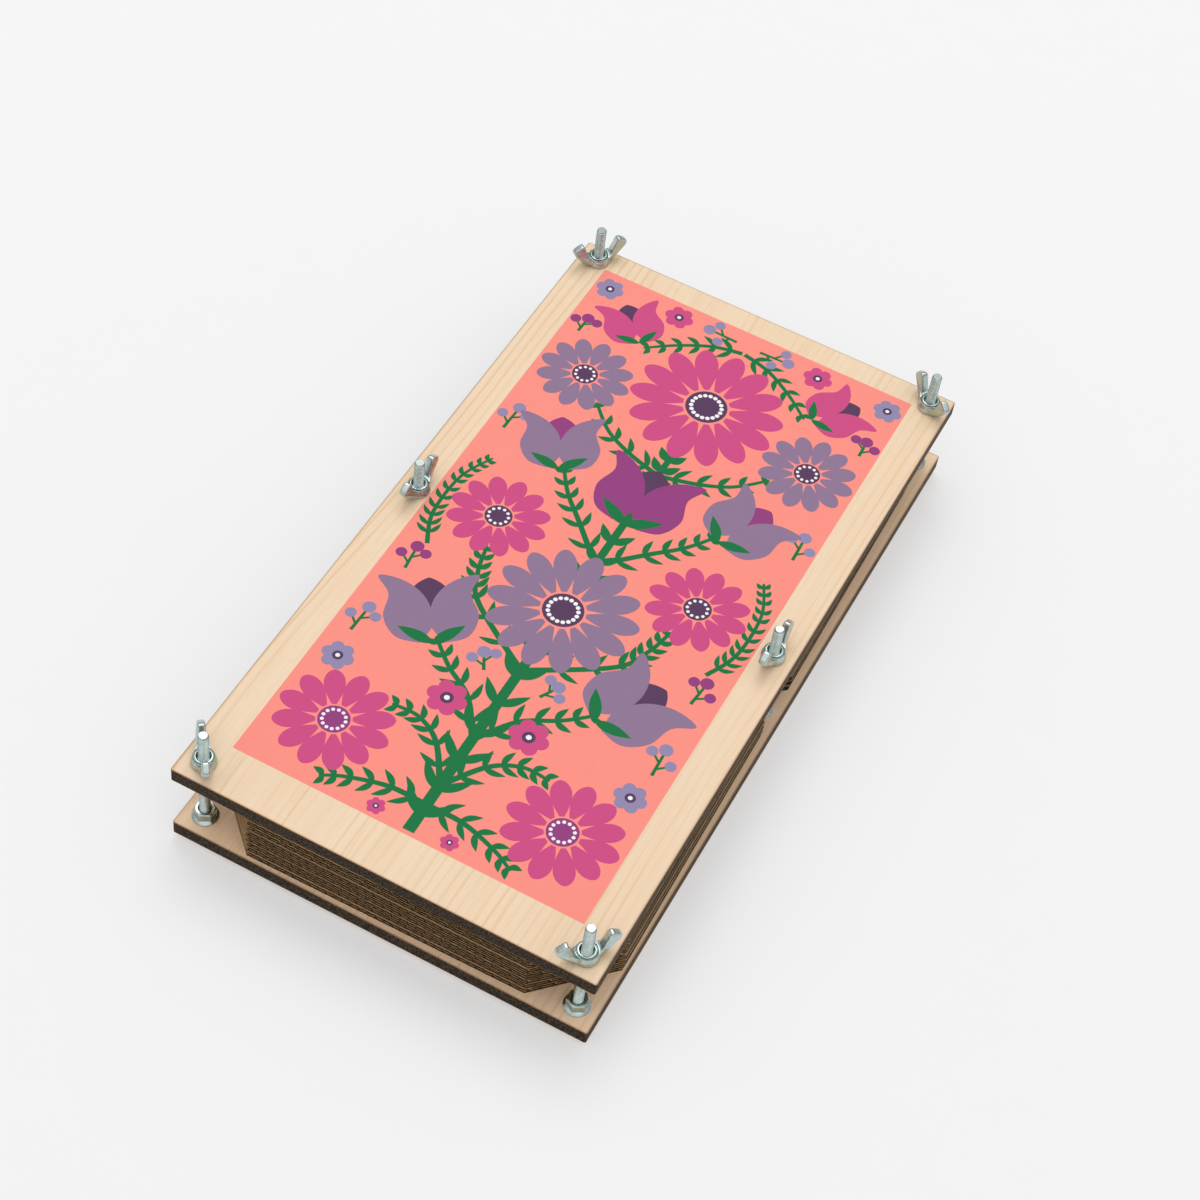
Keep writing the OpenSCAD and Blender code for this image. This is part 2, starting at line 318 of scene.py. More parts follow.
class Shell:
    """Collects the points and faces of one piece, in millimetres."""

    def __init__(self):
        self.points = []
        self.faces = []
        self.slots = []

    def face(self, corners, slot):
        self.faces.append(corners)
        self.slots.append(slot)

    def rings(self, rings, slot=0, looped=False):
        """Joins rings of points by quads, and caps both ends or loops the last ring to the first."""
        start = len(self.points)
        count = len(rings[0])
        for ring in rings:
            self.points.extend(ring)
        pairs = [(index, index + 1) for index in range(len(rings) - 1)]
        if looped:
            pairs.append((len(rings) - 1, 0))
        for low, high in pairs:
            lower = start + low * count
            upper = start + high * count
            for step in range(count):
                after = (step + 1) % count
                self.face([lower + step, lower + after, upper + after, upper + step], slot)
        if not looped:
            last = start + (len(rings) - 1) * count
            self.face([start + step for step in range(count)][::-1], slot)
            self.face([last + step for step in range(count)], slot)

    def plate(self, outline, low, high, slot=0):
        """A flat closed plate with that outline, between two heights."""
        self.rings([[(x, y, z) for x, y in outline] for z in (low, high)], slot)

    def mesh(self, name, finishes, smooth_angle=35.0):
        """The collected shape as a mesh in metres; finishes are its slots."""
        made = bpy.data.meshes.new(name)
        made.from_pydata([Vector(point) * MM for point in self.points], [], self.faces)
        for finish in finishes:
            made.materials.append(finish)
        made.polygons.foreach_set("material_index", self.slots)
        settle(made, smooth_angle)
        return made


def settle(mesh, smooth_angle):
    """Turns all normals outwards and keeps only the sharp edges sharp."""
    work = bmesh.new()
    work.from_mesh(mesh)
    bmesh.ops.recalc_face_normals(work, faces=work.faces)
    limit = math.radians(smooth_angle)
    for face in work.faces:
        face.smooth = True
    for edge in work.edges:
        edge.smooth = edge.calc_face_angle(0.0) < limit
    work.to_mesh(mesh)
    work.free()


def linked(name, data):
    """An object with that mesh, lamp or camera, linked to the scene."""
    piece = bpy.data.objects.new(name, data)
    bpy.context.scene.collection.objects.link(piece)
    return piece


def stand(name, mesh, body, replaced):
    """Puts a mesh in the scene, riding on a body and standing for CAD nodes."""
    piece = linked(name, mesh)
    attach(piece, body)
    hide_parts(*replaced)


def around(radius, angle, z):
    """The point at that radius, angle and height about the axis."""
    return (radius * math.cos(angle), radius * math.sin(angle), z)


def circle(radius, z, sides, centre=(0.0, 0.0)):
    """A ring of points at one height."""
    ring = []
    for step in range(sides):
        x, y, _ = around(radius, TAU * step / sides, z)
        ring.append((centre[0] + x, centre[1] + y, z))
    return ring


def moved(mesh, x, y, turn=0.0):
    """A copy of a mesh, turned about Z and moved across the boards, in millimetres and degrees."""
    copy = mesh.copy()
    spin = Matrix.Rotation(math.radians(turn), 4, "Z")
    copy.transform(Matrix.Translation((x * MM, y * MM, 0)) @ spin)
    return copy


def box_mm(node):
    """The low and high corners of a CAD node, in millimetres."""
    low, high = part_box(node)
    return Vector(low) / MM, Vector(high) / MM


CORNERS = [f"{row}_{side}" for row in ("front", "middle", "back") for side in ("left", "right")]
AXES = {}
for corner in CORNERS:
    low, high = box_mm("bolt_" + corner)
    AXES[corner] = ((low.x + high.x) / 2, (low.y + high.y) / 2)

DECK = box_mm("top_board")[1].z

# Boards

BOARD_BEVEL = 0.12
CORNER_RADIUS = 0.7
CORNER_STEPS = 4
HOLE_RADIUS = 2.25
HOLE_SIDES = 40


def board_outline(half_w, half_l, inset):
    """The rectangle of a board with barely rounded corners."""
    radius = CORNER_RADIUS - inset
    points = []
    for quarter, (side, end) in enumerate([(1, 1), (-1, 1), (-1, -1), (1, -1)]):
        centre_x = side * (half_w - CORNER_RADIUS)
        centre_y = end * (half_l - CORNER_RADIUS)
        for step in range(CORNER_STEPS + 1):
            angle = math.radians(90 * (quarter + step / CORNER_STEPS))
            points.append((centre_x + radius * math.cos(angle), centre_y + radius * math.sin(angle)))
    return points


def board_mesh(name, low, high, finishes):
    """A plywood board with six drilled holes; slot 0 is the veneer and slot 1 the cut rims."""
    half_w = (high.x - low.x) / 2
    half_l = (high.y - low.y) / 2
    middle = (low + high) / 2
    levels = [(low.z, 1), (low.z + BOARD_BEVEL, 0), (high.z - BOARD_BEVEL, 0), (high.z, 1)]
    work = bmesh.new()
    rims = {low.z: [], high.z: []}

    def wall(loops):
        rings = [[work.verts.new(Vector((x, y, z)) * MM) for x, y in loop] for loop, z in loops]
        count = len(rings[0])
        for lower, upper in zip(rings, rings[1:]):
            for step in range(count):
                after = (step + 1) % count
                made = work.faces.new((lower[step], lower[after], upper[after], upper[step]))
                made.material_index = 1
        for ring, z in ((rings[0], low.z), (rings[-1], high.z)):
            for step in range(count):
                rims[z].append(work.edges.get((ring[step], ring[(step + 1) % count])))

    outer = []
    for z, cut in levels:
        loop = board_outline(half_w, half_l, cut * BOARD_BEVEL)
        outer.append(([(middle.x + x, middle.y + y) for x, y in loop], z))
    wall(outer)
    for axis in AXES.values():
        loops = []
        for z, cut in levels:
            ring = circle(HOLE_RADIUS + cut * BOARD_BEVEL, z, HOLE_SIDES, axis)
            loops.append(([(x, y) for x, y, _ in ring], z))
        wall(loops)
    for edges in rims.values():
        bmesh.ops.triangle_fill(work, use_beauty=True, use_dissolve=False, edges=edges)
    made = bpy.data.meshes.new(name)
    work.to_mesh(made)
    work.free()
    for finish in finishes:
        made.materials.append(finish)
    settle(made, 30.0)
    return made


TOP_TONES = (shade(244, 220, 191), shade(237, 209, 177))
# The base veneer is warmer and lighter than the top's: partly its own tone, partly painted light for the
# base that lies in the top board's shade
WARM_LIT_BASE_TONES = (shade(252, 224, 192), shade(248, 214, 178))
for node, body, shift, tones in (
    ("base_board", "base", (3.1, 7.7, 1.3), WARM_LIT_BASE_TONES),
    ("top_board", "top_board", (0.4, 1.9, 5.2), TOP_TONES),
):
    name = "veneered_" + node
    low, high = box_mm(node)
    middle = (low + high) / 2 * MM
    half = (high - low) / 2 * MM
    veneer = veneer_finish(name + "_veneer", half, shift, *tones)
    rim = scorched_finish(name + "_rim", middle, half, shift)
    stand(name, board_mesh(name, low, high, [veneer, rim]), body, [node])

# Bolts and nuts

zinc = zinc_finish()
THREAD_RADIUS = 1.95
CORE_RADIUS = 1.70
TIP_RADIUS = 1.50
THREAD_PITCH = 0.7
THREAD_STEPS = 20
FADE_STEPS = 12
THREAD_START = 0.5
THREAD_STOP = 0.42
RIDGE_SINK = 0.06
RIDGE_FOOT = 0.24
RIDGE_CREST = 0.06
FADED_CREST = CORE_RADIUS - 0.05
BOLT_SIDES = 40
BORE_RADIUS = 2.02
HEX_FLATS = 7.0
HEX_SIDES = 96
HEAD_HEIGHT = 2.8
CORE_SINK = 0.2
BOLT_TURN = 37

# Each profile is a height, or a depth under the top, with a radius that limits the ring there
HEAD_PROFILE = ((0.0, 3.28), (0.12, 3.46), (0.26, 3.66), (0.42, 3.86), (0.6, 4.1))
HEAD_SHOULDER = ((0.15, 4.1), (0.0, 3.9))
TIP_PROFILE = ((0.22, CORE_RADIUS), (0.05, TIP_RADIUS), (0.0, TIP_RADIUS - 0.06))
FLANGE_PROFILE = ((0.0, 4.7), (0.12, 4.8), (0.5, 4.8), (0.66, 4.66))
NUT_FOOT = (1.25, 3.95)
NUT_SHOULDER = ((0.62, 4.1), (0.45, 3.88), (0.3, 3.7), (0.15, 3.52), (0.0, 3.3))
NUT_SINK_RADIUS = 2.5
NUT_SINK_DEPTH = 0.45


def hex_ring(z, limit):
    """A hexagon whose corners are cut back to a circle of radius limit."""
    ring = []
    for step in range(HEX_SIDES):
        angle = TAU * step / HEX_SIDES
        from_flat = (angle + TAU / 12) % (TAU / 6) - TAU / 12
        reach = min(HEX_FLATS / 2 / math.cos(from_flat), limit)
        ring.append(around(reach, angle, z))
    return ring


def thread_ridge(shell, low, high, top):
    """The rolled thread: a ridge wound round the core, fading out at both ends."""
    foot = CORE_RADIUS - RIDGE_SINK
    steps = round((high - low) / THREAD_PITCH * THREAD_STEPS)
    sections = []
    for step in range(steps + 1):
        angle = TAU * step / THREAD_STEPS
        z = low + THREAD_PITCH * step / THREAD_STEPS
        fade = min(1.0, step / FADE_STEPS, (steps - step) / FADE_STEPS)
        full = min(THREAD_RADIUS, TIP_RADIUS + (top - z))
        crest = FADED_CREST + (full - FADED_CREST) * fade
        profile = [(foot, -RIDGE_FOOT), (crest, -RIDGE_CREST), (crest, RIDGE_CREST), (foot, RIDGE_FOOT)]
        sections.append([around(radius, angle, z + rise) for radius, rise in profile])
    shell.rings(sections)


def bolt_mesh(top):
    """A hexagon bolt, threaded along its whole length up to that height."""
    shell = Shell()
    head = [hex_ring(z, limit) for z, limit in HEAD_PROFILE]
    shell.rings(head + [hex_ring(HEAD_HEIGHT - drop, limit) for drop, limit in HEAD_SHOULDER])
    core = [circle(CORE_RADIUS, HEAD_HEIGHT - CORE_SINK, BOLT_SIDES)]
    shell.rings(core + [circle(radius, top - drop, BOLT_SIDES) for drop, radius in TIP_PROFILE])
    thread_ridge(shell, HEAD_HEIGHT + THREAD_START, top - THREAD_STOP, top)
    return shell.mesh("threaded_bolt", [zinc])


def flange_nut_mesh(low, high):
    """A hexagon nut with a round flange, its corners turned off at the top."""
    rings = [circle(radius, low + rise, HEX_SIDES) for rise, radius in FLANGE_PROFILE]
    rings.append(hex_ring(low + NUT_FOOT[0], NUT_FOOT[1]))
    rings += [hex_ring(high - drop, limit) for drop, limit in NUT_SHOULDER]
    rings.append(circle(NUT_SINK_RADIUS, high, HEX_SIDES))
    rings.append(circle(BORE_RADIUS, high - NUT_SINK_DEPTH, HEX_SIDES))
    rings.append(circle(BORE_RADIUS, low + NUT_SINK_DEPTH, HEX_SIDES))
    rings.append(circle(NUT_SINK_RADIUS, low, HEX_SIDES))
    shell = Shell()
    shell.rings(rings, looped=True)
    return shell.mesh("locking_nut", [zinc], 28.0)


# Wing nuts, drawn upright before they are turned by these angles in degrees and set on the deck
WING_TURNS = {
    "front_left": 128.0,
    "front_right": 50.0,
    "middle_left": 87.3,
    "middle_right": 87.6,
    "back_left": 52.4,
    "back_right": -38.1,
}
HUB_RADIUS = 4.55
HUB_HEIGHT = 3.1
HUB_SIDES = 64
COLLAR_RADIUS = 3.3
NECK_RADIUS = COLLAR_RADIUS + 0.3
NUT_HEIGHT = 4.1
SINK_RADIUS = 2.7
DOME_START = -28
DOME_SWEEP = 100
DOME_STEPS = 8
FORGING_CELL = 0.12

# The web thickens the wing from its bare width towards the hub
WING_THICK = 2.9
WEB_THICK = 3.0
WEB_END = 6.8
WEB_LENGTH = 3.6

# Each corner of a wing's outline has a distance from the bolt, a height and a rounding radius
WING_CORNERS = [
    (2.6, 0.5, 0.1),
    (4.8, 0.36, 0.8),
    (7.0, 1.8, 2.4),
    (9.8, 5.4, 3.0),
    (12.0, 8.7, 1.7),
    (7.3, 11.7, 1.5),
    (6.4, 8.6, 3.0),
    (4.6, 4.0, 1.0),
    (2.6, 3.3, 0.1),
]

# Shares of a wing's thickness, with how far the outline is drawn in there
WING_EDGE = [(0.26, 0.0), (0.38, 0.14), (0.46, 0.4), (0.5, 0.75)]
WING_SECTION = [(-share, inset) for share, inset in reversed(WING_EDGE)] + WING_EDGE

# The turning tool as radii and heights: bore, countersink, top and flank of the collar, open space above
TOOL_SIDES = 72
TOOL_CORE = 0.01
TOOL_TOP = 8.0
TOOL_FOOT = -1.0
TOOL_REACH = COLLAR_RADIUS + 0.5
TURNED_PROFILE = (
    (TOOL_CORE, TOOL_TOP),
    (TOOL_CORE, TOOL_FOOT),
    (BORE_RADIUS, TOOL_FOOT),
    (BORE_RADIUS, NUT_HEIGHT - 1.5),
    (SINK_RADIUS - 0.22, NUT_HEIGHT - 1.0),
    (SINK_RADIUS - 0.06, NUT_HEIGHT - 0.12),
    (SINK_RADIUS + 0.06, NUT_HEIGHT),
    (COLLAR_RADIUS - 0.2, NUT_HEIGHT),
    (COLLAR_RADIUS - 0.05, NUT_HEIGHT - 0.08),
    (COLLAR_RADIUS, NUT_HEIGHT - 0.24),
    (COLLAR_RADIUS, 3.0),
    (COLLAR_RADIUS + 0.14, 2.86),
    (COLLAR_RADIUS + 0.34, 2.96),
    (TOOL_REACH, 3.5),
    (TOOL_REACH, TOOL_TOP),
)


def rounded_loop(corners, steps):
    """A closed outline through (x, z, radius) corners, each rounded to its radius."""
    points = []
    count = len(corners)
    for index in range(count):
        here = Vector(corners[index][:2])
        before = (Vector(corners[index - 1][:2]) - here).normalized()
        after = (Vector(corners[(index + 1) % count][:2]) - here).normalized()
        reach = corners[index][2] / math.tan(before.angle(after) / 2)
        start = here + before * reach
        end = here + after * reach
        for step in range(steps + 1):
            share = step / steps
            points.append(start * (1 - share) ** 2 + here * 2 * share * (1 - share) + end * share**2)
    return points


def evaluated(piece):
    """The mesh of a helper piece with its modifiers applied; the helper is removed."""
    graph = bpy.context.evaluated_depsgraph_get()
    made = bpy.data.meshes.new_from_object(piece.evaluated_get(graph))
    bpy.data.objects.remove(piece)
    return made


def wing_nut_blank():
    """The rough forging of a wing nut: a domed hub with a neck, and two wings that run into it."""
    shell = Shell()
    profile = []
    for step in range(DOME_STEPS + 1):
        spread = math.cos(math.radians(DOME_START + DOME_SWEEP * step / DOME_STEPS))
        profile.append((NECK_RADIUS + (HUB_RADIUS - NECK_RADIUS) * spread, HUB_HEIGHT * step / DOME_STEPS))
    profile += [(NECK_RADIUS, NUT_HEIGHT + 0.4), (COLLAR_RADIUS, NUT_HEIGHT + 0.6)]
    shell.rings([circle(radius, z, HUB_SIDES) for radius, z in profile])
    outline = rounded_loop(WING_CORNERS, 5)
    centre = sum(outline, Vector((0, 0))) / len(outline)
    for side in (1, -1):
        slices = []
        for share, inset in WING_SECTION:
            ring = []
            for point in outline:
                pulled = point - (point - centre).normalized() * inset
                web = max(0.0, min(1.0, (WEB_END - pulled.x) / WEB_LENGTH)) ** 1.6
                ring.append((side * pulled.x, side * share * (WING_THICK + WEB_THICK * web), pulled.y))
            slices.append(ring)
        shell.rings(slices)
    return linked("wing_nut_blank", shell.mesh("wing_nut_blank", [zinc]))


def forged(blank):
    """The forging as one skin whose hub and wings flow into each other, standing at height zero."""
    skin = blank.modifiers.new("forge", "REMESH")
    skin.mode = "VOXEL"
    skin.voxel_size = FORGING_CELL * MM
    soften = blank.modifiers.new("soften", "SMOOTH")
    soften.factor = 0.5
    soften.iterations = 8
    blank.modifiers.new("thin", "DECIMATE").ratio = 0.3
    made = evaluated(blank)
    made.materials.clear()
    made.materials.append(zinc)
    low = min(vertex.co.z for vertex in made.vertices)
    made.transform(Matrix.Translation((0, 0, -low)))
    return made


def carved(piece, cutter):
    """The mesh of a helper piece with a cutter taken out of it; both helpers are removed."""
    cut = piece.modifiers.new("cut", "BOOLEAN")
    cut.operation = "DIFFERENCE"
    cut.solver = "EXACT"
    cut.object = cutter
    made = evaluated(piece)
    bpy.data.objects.remove(cutter)
    return made


def wing_nut_mesh():
    """A cold-forged wing nut whose bore, countersink and collar are turned after the forging."""
    blank = linked("wing_nut_turned", forged(wing_nut_blank()))
    tool = Shell()
    tool.rings([circle(radius, z, TOOL_SIDES) for radius, z in TURNED_PROFILE], looped=True)
    made = carved(blank, linked("turning_tool", tool.mesh("turning_tool", [zinc])))
    made.transform(Matrix.Translation((0, 0, DECK * MM)))
    settle(made, 38.0)
    return made


nut_low, nut_high = box_mm("flange_nut_front_left")
flange_nut = flange_nut_mesh(nut_low.z, nut_high.z)
wing_nut = wing_nut_mesh()
for index, corner in enumerate(CORNERS):
    axis = AXES[corner]
    bolt_node = "bolt_" + corner
    nut_node = "flange_nut_" + corner
    wing_node = "wing_nut_" + corner
    bolt = moved(bolt_mesh(box_mm(bolt_node)[1].z), *axis, BOLT_TURN * index)
    turned = moved(wing_nut, *axis, WING_TURNS[corner])
    stand("threaded_bolt_" + corner, bolt, "base", [bolt_node])
    stand("locking_nut_" + corner, moved(flange_nut, *axis), "base", [nut_node])
    stand("forged_wing_nut_" + corner, turned, wing_node, [wing_node])

# Cards and papers

CARD_COUNT = 8
CARD_HALF_W = 77.5
CARD_HALF_L = 148.0
CARD_THICK = 2.85
LINER = 0.22
FLUTE_WALL = 0.18
FLUTE_PITCH = 6.37
FLUTE_STEEPNESS = 3.4
HOLLOW_SHARE = 0.385
HOLLOW_STEPS = 9
HOLLOWS_ASIDE = 13
HOLLOW_OVERRUN = 2.0
CORNER_CUT = 24.3
NOTCH_MOUTH = 12.0
NOTCH_FLOOR = 7.7
NOTCH_DEPTH = 11.7
NOTCH_FLANK = 0.4
PAPER_INSET = 0.4

# Height of a liner's plain edge, and how far behind a card's ends the browned rim and the pale band reach;
# further in, the hollows are painted dark as painted shade
EDGE_BAND = 0.34
BURN_DEPTH = 0.4
PALE_DEPTH = 0.85

# The whole pile is turned by a little, and each sheet slips aside from it; turns are in degrees
PILE_TURN = 0.7
SHEET_SLIP = 0.25
SCATTER_TURN = 137.5
SLIP_TURN = 0.06

# Slots of a card's finishes
LINER_SLOT, HOLLOW_SHADE_SLOT, SAWN_AND_LIT_SLOT, BURNT_SLOT, PALE_SLOT = range(5)


def sheet_outline(inset):
    """A sheet: cut corners, and a notch at the middle of each long side."""
    half_w = CARD_HALF_W - inset
    half_l = CARD_HALF_L - inset
    flank = half_w - NOTCH_FLANK * NOTCH_DEPTH
    floor = half_w - NOTCH_DEPTH
    mouth_y = NOTCH_MOUTH + inset
    floor_y = NOTCH_FLOOR + inset
    right = [
        (half_w - CORNER_CUT, -half_l),
        (half_w, CORNER_CUT - half_l),
        (half_w, -mouth_y),
        (flank, -floor_y),
        (floor, -floor_y),
        (floor, floor_y),
        (flank, floor_y),
        (half_w, mouth_y),
        (half_w, half_l - CORNER_CUT),
        (half_w - CORNER_CUT, half_l),
    ]
    return right + [(-x, y) for x, y in reversed(right)]


def hollow_section():
    """One hollow between the waves, as seen from the front: an arc closed over the inside of a liner."""
    swing = (CARD_THICK - 2 * LINER - FLUTE_WALL) / 2
    line = []
    for step in range(-HOLLOW_STEPS, HOLLOW_STEPS + 1):
        share = step / HOLLOW_STEPS * HOLLOW_SHARE
        bulge = math.tanh(FLUTE_STEEPNESS * math.cos(TAU * share)) / math.tanh(FLUTE_STEEPNESS)
        line.append(Vector((share * FLUTE_PITCH, -swing * bulge)))
    arc = []
    for index, point in enumerate(line):
        along = line[min(index + 1, len(line) - 1)] - line[max(index - 1, 0)]
        across = Vector((-along.y, along.x)).normalized()
        arc.append(point + across * FLUTE_WALL / 2)
    rim = CARD_THICK / 2 - LINER
    return arc + [Vector((arc[-1].x, rim)), Vector((arc[0].x, rim))]


def card_mesh(finishes, shift):
    """One corrugated card with hollows run through it from end to end, shifted by a share of a wave."""
    blank = Shell()
    blank.plate(sheet_outline(0.0), 0.0, CARD_THICK)
    body = linked("card_blank", blank.mesh("card_blank", finishes))
    # Faces towards the left and the right long side take the sawn finish; on the left cut corners its
    # lighter tone is painted light, as the light falls from the left
    for face in body.data.polygons:
        if face.normal.x < -0.5 or face.normal.x > 0.9:
            face.material_index = SAWN_AND_LIT_SLOT
    hollows = Shell()
    middle = CARD_THICK / 2
    ends = (-CARD_HALF_L - HOLLOW_OVERRUN, CARD_HALF_L + HOLLOW_OVERRUN)
    section = hollow_section()
    for index in range(-HOLLOWS_ASIDE, HOLLOWS_ASIDE + 1):
        for side in (1, -1):
            centre = (index + shift + (0 if side > 0 else 0.5)) * FLUTE_PITCH
            ring = [(centre + point.x, middle + side * point.y) for point in section]
            hollows.rings([[(x, y, z) for x, z in ring] for y in ends], HOLLOW_SHADE_SLOT)
    made = carved(body, linked("flute_tool", hollows.mesh("flute_tool", finishes)))
    scorch_ends(made)
    settle(made, 25.0)
    return made


def mouth_planes(depth, sides):
    """Planes at that depth behind both ends of a card, and behind its cut corners on those sides."""
    slant = CARD_HALF_W + CARD_HALF_L - CORNER_CUT - depth * math.sqrt(2)
    planes = []
    for end in (1, -1):
        planes.append((Vector((0, end * (CARD_HALF_L - depth), 0)) * MM, Vector((0, end, 0))))
        for side in sides:
            planes.append((Vector((0, end * slant, 0)) * MM, Vector((side, end, 0)).normalized()))
    return planes


def scorch_ends(mesh):
    """Colours the mouths of the hollows: browned rims, then pale card, with painted shade in the depths
    behind.
    """
    work = bmesh.new()
    work.from_mesh(mesh)

    def part(point, normal):
        geometry = work.verts[:] + work.edges[:] + work.faces[:]
        bmesh.ops.bisect_plane(work, geom=geometry, plane_co=point, plane_no=normal)

    for height in (EDGE_BAND, CARD_THICK - EDGE_BAND):
        part(Vector((0, 0, height)) * MM, Vector((0, 0, 1)))
    for face in work.faces:
        height = face.calc_center_median().z / MM
        if face.material_index == LINER_SLOT and EDGE_BAND < height < CARD_THICK - EDGE_BAND:
            face.material_index = BURNT_SLOT
    # The browned rim is left off the left cut corners so that they stay pale: painted light there
    for depth, slot, sides in ((PALE_DEPTH, PALE_SLOT, (1, -1)), (BURN_DEPTH, BURNT_SLOT, (1,))):
        planes = mouth_planes(depth, sides)
        for point, normal in planes:
            part(point, normal)
        for face in work.faces:
            centre = face.calc_center_median()
            hollow = face.material_index in (HOLLOW_SHADE_SLOT, PALE_SLOT)
            level = slot == BURNT_SLOT and abs(face.normal.z) > 0.5
            outside = any((centre - point).dot(normal) > 0 for point, normal in planes)
            if outside and (hollow or level):
                face.material_index = slot
    work.to_mesh(mesh)
    work.free()


def laid(mesh, place, low):
    """A sheet's mesh where it lies in the pile, counted from the bottom."""
    slip = math.radians(SCATTER_TURN * place)
    turn = math.radians(PILE_TURN + SLIP_TURN * math.sin(slip))
    aside = Vector((SHEET_SLIP * math.cos(slip), SHEET_SLIP * math.sin(slip), low)) * MM
    copy = mesh.copy()
    copy.transform(Matrix.Rotation(turn, 4, "Z") @ Matrix.Translation(aside))
    return copy


card_finishes = [
    kraft_finish("kraft_liner", shade(182, 149, 107), shade(136, 106, 70), shade(80, 56, 35)),
    # The hollows' finish is painted shade: dark card for the depths of the hollows
    kraft_finish("kraft_hollow_painted_shade", shade(70, 52, 33), shade(50, 37, 23), shade(32, 23, 15)),
    # The side finish also covers the left cut corners, where its lighter tone is painted light
    kraft_finish(
        "kraft_side_and_lit_corners", shade(226, 200, 164), shade(132, 108, 78), shade(104, 80, 54), (1400, 110, 2400)
    ),
    kraft_finish("kraft_burnt", shade(62, 46, 29), shade(42, 31, 19), shade(26, 19, 12)),
    kraft_finish("kraft_pale", shade(196, 160, 114), shade(166, 131, 90), shade(118, 87, 56)),
]
felt = blotter_finish()
wave_shifts = random.Random(8)
paper_low, paper_high = box_mm("blotting_paper_1")
paper_shell = Shell()
paper_shell.plate(sheet_outline(PAPER_INSET), 0.0, paper_high.z - paper_low.z)
paper = paper_shell.mesh("felt_paper", [felt])
for number in range(1, CARD_COUNT + 1):
    node = f"corrugated_card_{number}"
    card = card_mesh(card_finishes, wave_shifts.uniform(-0.5, 0.5))
    sheet = laid(card, 2 * number - 1, box_mm(node)[0].z)
    stand(f"fluted_card_{number}", sheet, node, [node])
for number in range(1, CARD_COUNT):
    node = f"blotting_paper_{number}"
    sheet = laid(paper, 2 * number, box_mm(node)[0].z)
    stand(f"felt_paper_{number}", sheet, node, [node])

# Print

CORAL, LEAF_GREEN, MAGENTA, MAUVE, PLUM, VIOLET, LAVENDER, WHITE = range(8)
INKS = [
    ink_finish("coral_ink", shade(252, 146, 132)),
    ink_finish("leaf_green_ink", shade(8, 116, 62)),
    ink_finish("magenta_ink", shade(207, 75, 132)),
    ink_finish("mauve_ink", shade(143, 118, 148)),
    ink_finish("plum_ink", shade(87, 57, 91)),
    ink_finish("violet_ink", shade(148, 60, 125)),
    ink_finish("lavender_ink", shade(146, 137, 174)),
    ink_finish("white_ink", shade(248, 244, 246)),
]
film_low, film_high = box_mm("printed_panel")
FILM_MIDDLE = (film_low + film_high) / 2
FILM_THICK = film_high.z - film_low.z
LEAF_STEPS = 18
LEAF_LEAN = 44
PETAL_STEPS = 24
TIP_ANGLES = (0.7, 1.2, 1.6, 2.0, 2.5)

# Knots of a tulip's side petal that opens along +X, as shares of its size
SIDE_PETAL = (
    (0, 0.16),
    (0.10, 0.46),
    (0.42, 0.60),
    (0.78, 0.52),
    (1.08, 0.64),
    (0.98, 0.30),
    (0.70, 0.05),
    (0.3, -0.02),
    (0, 0.16),
)


class Print:
    """Draws flat shapes on the film, in millimetres from its middle."""

    def __init__(self):
        self.shell = Shell()

    def shape(self, outline, ink, layer):
        """A flat shape whose top lies higher with each layer, so that it covers those under it."""
        points = [(FILM_MIDDLE.x + x, FILM_MIDDLE.y + y) for x, y in outline]
        self.shell.plate(points, film_low.z, film_low.z + FILM_THICK * (0.15 + 0.07 * layer), ink)

    def both(self, outline, ink, layer):
        """The shape and its mirror image, half a layer apart so that they may cross."""
        self.shape(outline, ink, layer)
        self.shape([(-x, y) for x, y in reversed(outline)], ink, layer + 0.5)


def turned_points(points, centre, angle):
    """Points drawn along +X, turned to an angle in degrees and moved to a centre."""
    cosine = math.cos(math.radians(angle))
    sine = math.sin(math.radians(angle))
    return [(centre[0] + x * cosine - y * sine, centre[1] + x * sine + y * cosine) for x, y in points]


def curve_points(knots, steps=10):
    """A smooth line through its knots."""
    line = []
    ends = [knots[0]] + list(knots) + [knots[-1]]
    for index in range(1, len(ends) - 2):
        a, b, c, d = (Vector(point) for point in ends[index - 1 : index + 3])
        for step in range(steps):
            t = step / steps
            square = (2 * a - 5 * b + 4 * c - d) * t**2
            cube = (3 * b - a - 3 * c + d) * t**3
            line.append(0.5 * (2 * b + (c - a) * t + square + cube))
    line.append(Vector(knots[-1]))
    return line


def ribbon(knots, start_width, end_width):
    """A stem: a smooth line whose width changes along it, with a round tip."""
    line = curve_points(knots)
    left = []
    right = []
    for index, point in enumerate(line):
        along = line[min(index + 1, len(line) - 1)] - line[max(index - 1, 0)]
        across = Vector((-along.y, along.x)).normalized()
        width = start_width + (end_width - start_width) * index / (len(line) - 1)
        left.append(point + across * width / 2)
        right.append(point - across * width / 2)
    heading = math.degrees(math.atan2(along.y, along.x))
    end = end_width / 2
    round_end = [(end * math.sin(angle), -end * math.cos(angle)) for angle in TIP_ANGLES]
    tip = turned_points(round_end, line[-1], heading)
    return [tuple(point) for point in right] + tip + [tuple(point) for point in reversed(left)]


def disc(centre, radius, sides=28):
    """A round spot."""
    return [(x, y) for x, y, _ in circle(radius, 0, sides, centre)]


